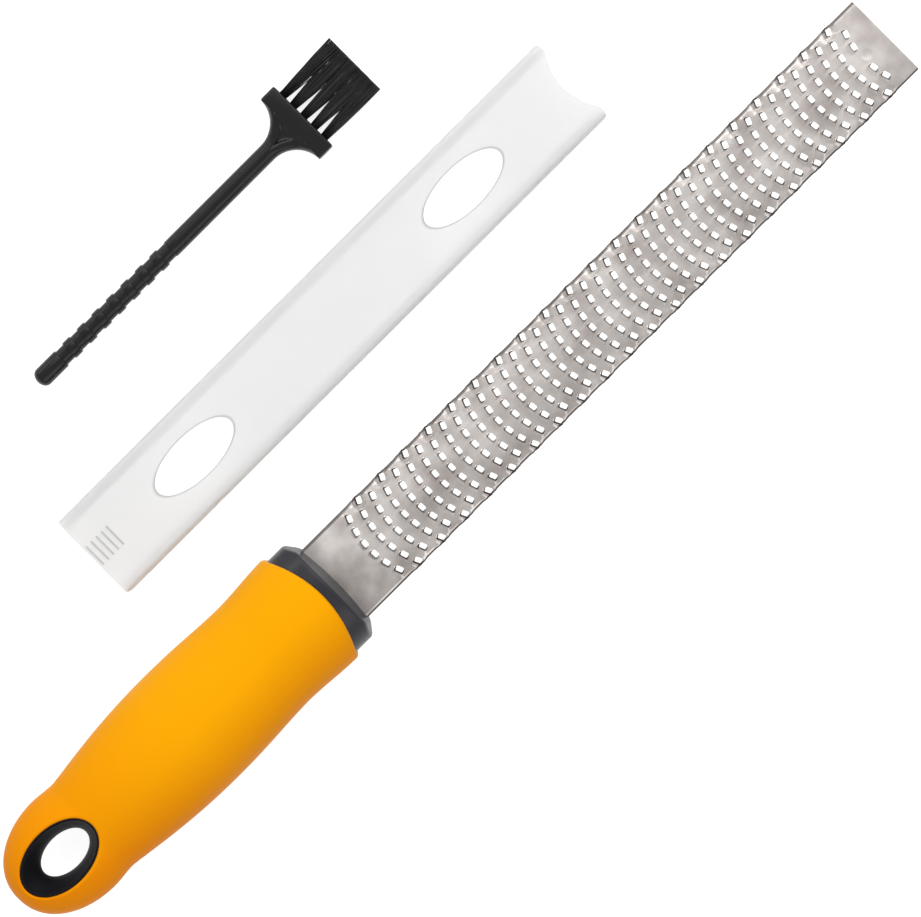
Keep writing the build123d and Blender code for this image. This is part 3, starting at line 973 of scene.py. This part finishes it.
def make_lining():
    """The dark oval funnel of the hanging eye, narrowest in the middle of the handle."""
    mouth_x, mouth_y = EYE_LENGTH / 2 - LINING_INSET, EYE_WIDTH / 2 - LINING_INSET
    points = []
    for sign in (1, -1):
        for i in range(LINING_SIDES):
            angle = 2 * math.pi * i / LINING_SIDES
            cos, sin = math.cos(angle), math.sin(angle)
            rim = eye_reach(angle)
            top = skin_height(EYE_X + rim * cos, rim * sin) - LINING_SUNK
            for out, drop in LINING_RIM:
                points.append((EYE_X + (rim + out) * cos, (rim + out) * sin, sign * (top - drop)))
            for step in range(LINING_STEPS + 1):
                t = step / LINING_STEPS
                k = math.sin(t * math.pi / 2) ** FUNNEL_POWER
                x = EYE_X + THROAT_SHIFT * k + (mouth_x + (THROAT_LENGTH / 2 - mouth_x) * k) * cos
                y = (mouth_y + (THROAT_WIDTH / 2 - mouth_y) * k) * sin
                points.append((x, y, sign * (top - LINING_STEP) * (1 - t)))
    rows = LINING_STEPS + 1 + len(LINING_RIM)
    half = LINING_SIDES * rows
    sides = [(i * rows, (i + 1) % LINING_SIDES * rows) for i in range(LINING_SIDES)]
    down = [(a + j, b + j) for a, b in sides for j in range(rows - 1)]
    faces = [(a, a + 1, b + 1, b) for a, b in down]
    faces += [(a + half, b + half, b + half + 1, a + half + 1) for a, b in down]
    faces += [(a, b, b + half, a + half) for a, b in sides]
    return outward(plain_mesh("eye_lining", points, faces))


def collar_front_at(y, z):
    """Where the collar's front stands."""
    flat = math.sqrt(COLLAR_FRONT_RADIUS**2 - min(abs(y), COLLAR_FRONT_HALF) ** 2)
    past = max(abs(y) - COLLAR_FRONT_HALF, 0)
    slope = math.tan(math.asin(COLLAR_FRONT_HALF / COLLAR_FRONT_RADIUS))
    soft = math.sqrt(past**2 + COLLAR_BEVEL_ROUNDING**2) - COLLAR_BEVEL_ROUNDING
    back = past * slope + soft * COLLAR_BEVEL + abs(z) * math.tan(COLLAR_LEAN)
    return COLLAR_FRONT - (COLLAR_FRONT_RADIUS - flat) - back


def make_collar():
    """The dark collar between the grip and the rasp."""
    spins = [2 * math.pi * i / COLLAR_SIDES for i in range(COLLAR_SIDES)]
    ring = [(math.sin(spin), math.cos(spin)) for spin in spins]
    half_y, half_z = COLLAR_WIDTH / 2, COLLAR_THICKNESS / 2
    points = []
    for step in range(COLLAR_SIDE_STEPS + 1):
        for s, c in ring:
            run = collar_front_at(half_y * s, half_z * c) - COLLAR_EDGE - COLLAR_BACK
            x = COLLAR_BACK + run * step / COLLAR_SIDE_STEPS
            points.append((x, half_y * s, half_z * c))
    for bend in quarter(COLLAR_EDGE_STEPS):
        drop = COLLAR_EDGE * (1 - math.cos(bend))
        for s, c in ring:
            normal = Vector((0, s / COLLAR_WIDTH, c / COLLAR_THICKNESS)).normalized()
            y, z = half_y * s - normal.y * drop, half_z * c - normal.z * drop
            points.append((collar_front_at(y, z) - COLLAR_EDGE * (1 - math.sin(bend)), y, z))
    for step in range(1, COLLAR_FACE_STEPS):
        k = 1 - step / COLLAR_FACE_STEPS
        for s, c in ring:
            y, z = (half_y - COLLAR_EDGE) * s * k, (half_z - COLLAR_EDGE) * c * k
            points.append((collar_front_at(y, z), y, z))
    faces = ring_faces(len(points) // COLLAR_SIDES, COLLAR_SIDES)
    faces.append(tuple(range(COLLAR_SIDES - 1, -1, -1)))
    faces.append(tuple(range(len(points) - COLLAR_SIDES, len(points))))
    return outward(plain_mesh("collar", points, faces), 35)


# The brush


def rod_profile():
    """The rod's radius along it: a domed cap, then grooves and rings, then the plain shaft."""
    profile = [
        (CAP_ROUNDING * (1 - math.cos(bend)), CAP_RADIUS * math.sin(bend)) for bend in quarter(8)
    ]
    x = CAP_LENGTH
    for number in range(RINGS + 1):
        profile += [(x - back, CAP_RADIUS - drop) for back, drop in RING_EDGE]
        x += RING_PITCH - RING_WIDTH
        if number < RINGS:
            profile += [(x + back, CAP_RADIUS - drop) for back, drop in reversed(RING_EDGE)]
            x += RING_WIDTH
    profile += [(x, GROOVE_RADIUS), (x + 0.05, SHAFT_RADIUS - 0.1), (x + 0.3, SHAFT_RADIUS)]
    runs = [(FLARE_START - x) * i / SHAFT_STEPS for i in range(1, SHAFT_STEPS + 1)]
    return profile + [(x + run, SHAFT_RADIUS) for run in runs]


def web_rise(x, y):
    """Half the web's thickness: two rounded arms along its edges and a sunk middle."""
    inside = max(math.hypot(x - FLARE_START, HEAD_HALF - abs(y)) - FLARE_RADIUS, 0)
    spread = smooth_step(FLARE_START, FLARE_START + ARM_RUN, x)
    rounding = SHAFT_RADIUS - (SHAFT_RADIUS - ARM_ROUNDING) * spread
    top = SHAFT_RADIUS - ARM_DROP * spread
    top += (HEAD_RISE - top) * smooth_step(HEAD_BACK - 2.5, HEAD_BACK, x)
    arm = math.sqrt(1 - (1 - min(inside / rounding, 1)) ** 2) * top
    sunk = WEB_SUNK * spread * (1 - 0.95 * smooth_step(HEAD_BACK - 2, HEAD_BACK, x))
    return arm - sunk * smooth_step(*WEB_SLOPE, inside)


def make_rod():
    """The ringed rod and the web that it flares into, as one skin."""
    spins = [2 * math.pi * i / ROD_SIDES for i in range(ROD_SIDES)]
    points = [(0, 0, 0)]
    for x, radius in rod_profile():
        points += [(x, radius * math.sin(s), radius * math.cos(s)) for s in spins]
    for bend in quarter(FLARE_STEPS):
        x = FLARE_START + FLARE_RADIUS * math.sin(bend)
        half = HEAD_HALF - FLARE_RADIUS * math.cos(bend)
        for s in spins:
            y = half * math.sin(s)
            points.append((x, y, math.copysign(web_rise(x, y), math.cos(s))))
    points += [(x + 1, y * 0.97, z * 0.97) for x, y, z in points[-ROD_SIDES:]]
    faces = [(0, 1 + (i + 1) % ROD_SIDES, 1 + i) for i in range(ROD_SIDES)]
    faces += ring_faces(len(points) // ROD_SIDES, ROD_SIDES, 1)
    faces.append(tuple(range(len(points) - ROD_SIDES, len(points))))
    return outward(plain_mesh("brush_rod", points, faces, place=BRUSH), 50)


def make_head():
    """The flat head that holds the tufts, rounded all round."""
    outline = []
    for sy, sz, first in ((1, 1, 0), (-1, 1, 1), (-1, -1, 2), (1, -1, 3)):
        for bend in quarter(6, first=0):
            spin = first * math.pi / 2 + bend
            outline.append((sy * (HEAD_HALF - HEAD_CORNER), sz * (HEAD_RISE - HEAD_CORNER), spin))
    rows = [
        (HEAD_BACK + HEAD_EDGE * (1 - math.cos(b)), HEAD_EDGE * (1 - math.sin(b)))
        for b in quarter(5, first=0)
    ]
    rows += [(BRUSH_LENGTH - (x - HEAD_BACK), drop) for x, drop in reversed(rows)]
    points = []
    for x, drop in rows:
        reach = HEAD_CORNER - drop
        points += [(x, y + reach * math.cos(s), z + reach * math.sin(s)) for y, z, s in outline]
    around = len(outline)
    faces = [tuple(range(around)), tuple(range(len(points) - around, len(points)))]
    faces += ring_faces(len(rows), around)
    return outward(plain_mesh("brush_head", points, faces, place=BRUSH), 50)


def strand_mesh():
    """One bristle of unit length along X: four sides, a slight bow and a cut end."""
    points = []
    for step in range(STRAND_STEPS + 1):
        t = step / STRAND_STEPS
        bow = STRAND_BOW * math.sin(t * math.pi) if step else 0.0
        for corner in range(4):
            angle = math.pi / 2 * corner
            y, z = STRAND_RADIUS * math.cos(angle), STRAND_RADIUS * math.sin(angle)
            points.append((t, y + bow, z))
    return points, ring_faces(STRAND_STEPS + 1, 4) + [(12, 13, 14, 15), (3, 2, 1, 0)]


def bristle_tree(strand, nylon):
    """Fans the bristles of every tuft out from its hole to the square-cut tip."""
    values = {
        "Strand": strand,
        "Nylon": nylon,
        "Tufts": TUFTS,
        "Strands": STRANDS,
        "Tuft Pitch": TUFT_PITCH * MM,
        "Root Radius": ROOT_RADIUS * MM,
        "Tip Half Width": TIP_HALF_WIDTH * MM,
        "Tip Half Thickness": TIP_HALF_THICKNESS * MM,
        "Lowest Tip": LOWEST_TIP * MM,
        "Highest Tip": HIGHEST_TIP * MM,
        "Root X": (BRUSH.x + BRUSH_LENGTH - ROOT_DEPTH) * MM,
        "Length": BRISTLE_LENGTH * MM,
        "Middle Y": BRUSH.y * MM,
        "Middle Z": BRUSH.z * MM,
        "Seed": 7,
    }
    tree = Tree("bristle_tufts", values)
    tufts, strands, root, seed = tree.given("Tufts", "Strands", "Root Radius", "Seed")

    def scatter(low, high, step):
        inputs = {2: low, 3: high, "Seed": seed + step}
        node = tree.add("FunctionNodeRandomValue", inputs, data_type="FLOAT")
        return Field(tree, node.outputs[1])

    # A strand's place in its tuft follows a spiral, so that they fill it evenly
    index = tree.index()
    tuft = (index / strands + 0.00001).made("FLOOR")
    own = index - tuft * strands
    reach = ((own + 0.5) / strands).made("SQRT")
    spin = own * GOLDEN_ANGLE
    y = reach * spin.made("COSINE")
    z = reach * spin.made("SINE")
    middle = (tuft - tufts / 2 + 0.5) * tree.given("Tuft Pitch")
    foot = middle + y * root
    foot_y = foot + tree.given("Middle Y")
    foot_z = z * root + tree.given("Middle Z")

    tip = middle + y * tree.given("Tip Half Width") + scatter(-0.0003, 0.0003, 1)
    tip = tip.held(*tree.given("Lowest Tip", "Highest Tip"))
    tip_y = tip + scatter(-0.0002, 0.0002, 5) - foot
    tip_z = z * tree.given("Tip Half Thickness") - z * root + scatter(-0.0002, 0.0002, 2)
    length = tree.given("Length") + scatter(-0.00025, 0.0, 3)
    towards = {"Vector": tree.vector(length, tip_y, tip_z)}
    aim = tree.add("FunctionNodeAlignRotationToVector", towards, axis="X")
    roll = {"Rotation": aim.outputs[0], "Rotate By": tree.vector(scatter(0.0, 6.28, 4), 0, 0)}
    rolled = tree.add("FunctionNodeRotateRotation", roll, rotation_space="LOCAL")
    placed = tree.placed(
        tufts * strands,
        tree.vector(tree.given("Root X"), foot_y, foot_z),
        tree.given("Strand"),
        Rotation=rolled.outputs[0],
        Scale=tree.vector(length * 1000, 1, 1),
    )
    tree.finish(placed, tree.given("Nylon"))
    return tree


def make_bristles():
    nylon = bristle_material()
    strand = plain_mesh("bristle_strand", *strand_mesh(), place=Vector((0, 0, 0)))
    strand.data.materials.append(nylon)
    bristles = plain_mesh("bristles", [], [])
    bristle_tree(strand, nylon).modify(bristles)
    made_plain(bristles)
    bpy.data.objects.remove(strand)
    return bristles


# Floor, light and camera

FLOOR_HALF = 3.0
FLOOR_LEVEL = -0.00002
FLOOR_GLOW = 0.83

# Strength at the horizon and overhead: of the light, and of the backdrop that is seen
WORLD_LIGHT = (0.12, 0.8)
WORLD_SEEN = (1.0, 0.8)
# Where the strength overhead is reached, from 0 at the horizon to 1 straight up
WORLD_TOP = 0.85

# Each lamp's place and size in metres, and its power
LAMPS = {
    "key": ((0.6, 0.6, 0.85), (1.2, 1.2), 8.5),
    "strip": ((0, 1.1, 0.5), (1.0, 0.12), 2.0),
    "fill": ((-0.3, -0.9, 0.8), (0.9, 0.6), 2.2),
}

# The photograph is 921 pixels wide, and the tool lies along a slant in it
IMAGE_WIDTH = 921
PIXELS_PER_MM = 3.72
SLANT = (0.70871, 0.70550)
AIM = Vector((4.05, -44.425, 16.0))
CAMERA_DISTANCE = 1100.0
CAMERA_TILT = math.radians(1.5)
SENSOR_WIDTH = 36.0


def light_path_mask(nodes):
    """1 for rays from the camera, off gloss or through clear plastic."""
    rays = nodes.add("ShaderNodeLightPath").outputs
    mask = nodes.maths("MAXIMUM", rays["Is Camera Ray"], rays["Is Glossy Ray"])
    return nodes.maths("MAXIMUM", mask, rays["Is Transmission Ray"])


def make_floor():
    signs = ((-1, -1), (1, -1), (1, 1), (-1, 1))
    corners = [(x * FLOOR_HALF, y * FLOOR_HALF, FLOOR_LEVEL) for x, y in signs]
    mesh = bpy.data.meshes.new("floor")
    mesh.from_pydata(corners, [], [(0, 1, 2, 3)])
    floor = bpy.data.objects.new("floor", mesh)
    bpy.context.scene.collection.objects.link(floor)
    sockets = {"Specular_IOR_Level": 0.0, "Emission_Color": (1, 1, 1, 1)}
    shade = Shade("floor_white", (0.5, 0.5, 0.5), 0.9, **sockets)
    glow = shade.maths("MULTIPLY", light_path_mask(shade), FLOOR_GLOW)
    shade.feed("Emission Strength", glow)
    mesh.materials.append(shade.material)


def make_world():
    """A white backdrop, a little greyer overhead, and a softer light from above."""
    world = bpy.data.worlds.new("studio")
    world.use_nodes = True
    nodes = Nodes(world.node_tree)
    nodes.tree.nodes.clear()
    height = nodes.split(nodes.add("ShaderNodeTexCoord").outputs["Generated"])["Z"]
    shells = []
    for horizon, zenith in (WORLD_LIGHT, WORLD_SEEN):
        strength = nodes.ranged(height, 0.0, WORLD_TOP, horizon, zenith)
        inputs = {"Color": (1, 1, 1, 1), "Strength": strength}
        shells.append(nodes.add("ShaderNodeBackground", inputs).outputs[0])
    inputs = {0: light_path_mask(nodes), 1: shells[0], 2: shells[1]}
    mix = nodes.add("ShaderNodeMixShader", inputs)
    nodes.add("ShaderNodeOutputWorld", {0: mix.outputs[0]})
    bpy.context.scene.world = world


def add_lamp(name, place, size, power):
    """A flat lamp that faces the middle of the set."""
    data = bpy.data.lights.new(name, "AREA")
    data.shape = "RECTANGLE"
    data.size, data.size_y = size
    data.energy = power
    lamp = bpy.data.objects.new(name, data)
    lamp.location = place
    lamp.rotation_euler = (-Vector(place)).to_track_quat("-Z", "Y").to_euler()
    bpy.context.scene.collection.objects.link(lamp)


def make_camera():
    data = bpy.data.cameras.new("camera")
    data.sensor_width = SENSOR_WIDTH
    data.sensor_fit = "HORIZONTAL"
    data.lens = SENSOR_WIDTH * CAMERA_DISTANCE / (IMAGE_WIDTH / PIXELS_PER_MM)
    data.clip_start = 0.01
    camera = bpy.data.objects.new("camera", data)
    back = Vector((math.sin(CAMERA_TILT), 0, math.cos(CAMERA_TILT)))
    right = Vector((SLANT[0], -SLANT[1], 0))
    right = (right - back * right.dot(back)).normalized()
    turn = Matrix((right, back.cross(right), back)).transposed()
    camera.matrix_world = Matrix.Translation((AIM + back * CAMERA_DISTANCE) * MM) @ turn.to_4x4()
    bpy.context.scene.collection.objects.link(camera)
    bpy.context.scene.camera = camera


# The set


def dress(obj, material):
    obj.data.materials.clear()
    obj.data.materials.append(material)


def ready(obj, body, nodes, material=None):
    """Gives a finished piece its material, if one is given, and its body, and hides the CAD
    nodes that it stands for.
    """
    if material is not None:
        dress(obj, material)
    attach(obj, body)
    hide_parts(*nodes)


bpy.context.scene.view_settings.view_transform = "Standard"
make_camera()
make_floor()
make_world()
for name, lamp in LAMPS.items():
    add_lamp(name, *lamp)

# A colour and roughness, then the grain: two colours, roughness, scales and bump
core = plain_material(
    "core_plastic", (0.018, 0.018, 0.024), 0.36, (0.015, 0.015, 0.02), (0.021, 0.021, 0.028),
    (0.28, 0.38), (3200, 90), 0.1, Specular_IOR_Level=0.32,
)
lining = plain_material(
    "lining_plastic", (0.008, 0.008, 0.01), 0.5, (0.007, 0.007, 0.009), (0.01, 0.009, 0.012),
    (0.46, 0.56), (3200, 90), 0.08, Specular_IOR_Level=0.06,
)
black = plain_material(
    "brush_plastic", (0.005, 0.005, 0.005), 0.24, (0.003, 0.003, 0.003), (0.006, 0.006, 0.006),
    (0.2, 0.3), (3000, 120), 0.08, Specular_IOR_Level=0.28,
)
brass = plain_material(
    "anchor_brass", (0.62, 0.47, 0.2), 0.35, (0.58, 0.44, 0.18), (0.68, 0.52, 0.24),
    (0.3, 0.4), (2000, 200), 0.1, Metallic=1.0,
)
tufts = [f"bristle_tuft_{i}" for i in range(1, TUFTS + 1)]
ready(make_grip(), "zester", ["grip_sleeve"], grip_material())
ready(make_collar(), "zester", ["handle_core"], core)
ready(make_lining(), "zester", ["handle_core"], lining)
ready(make_rasp(), "zester", ["rasp_blade"])
ready(make_bristles(), "brush", tufts)
dress(NODES["blade_cover"], cover_material())
ready(make_rod(), "brush", ["brush_handle"], black)
ready(make_head(), "brush", ["brush_handle"], black)
dress(NODES["tuft_anchors"], brass)
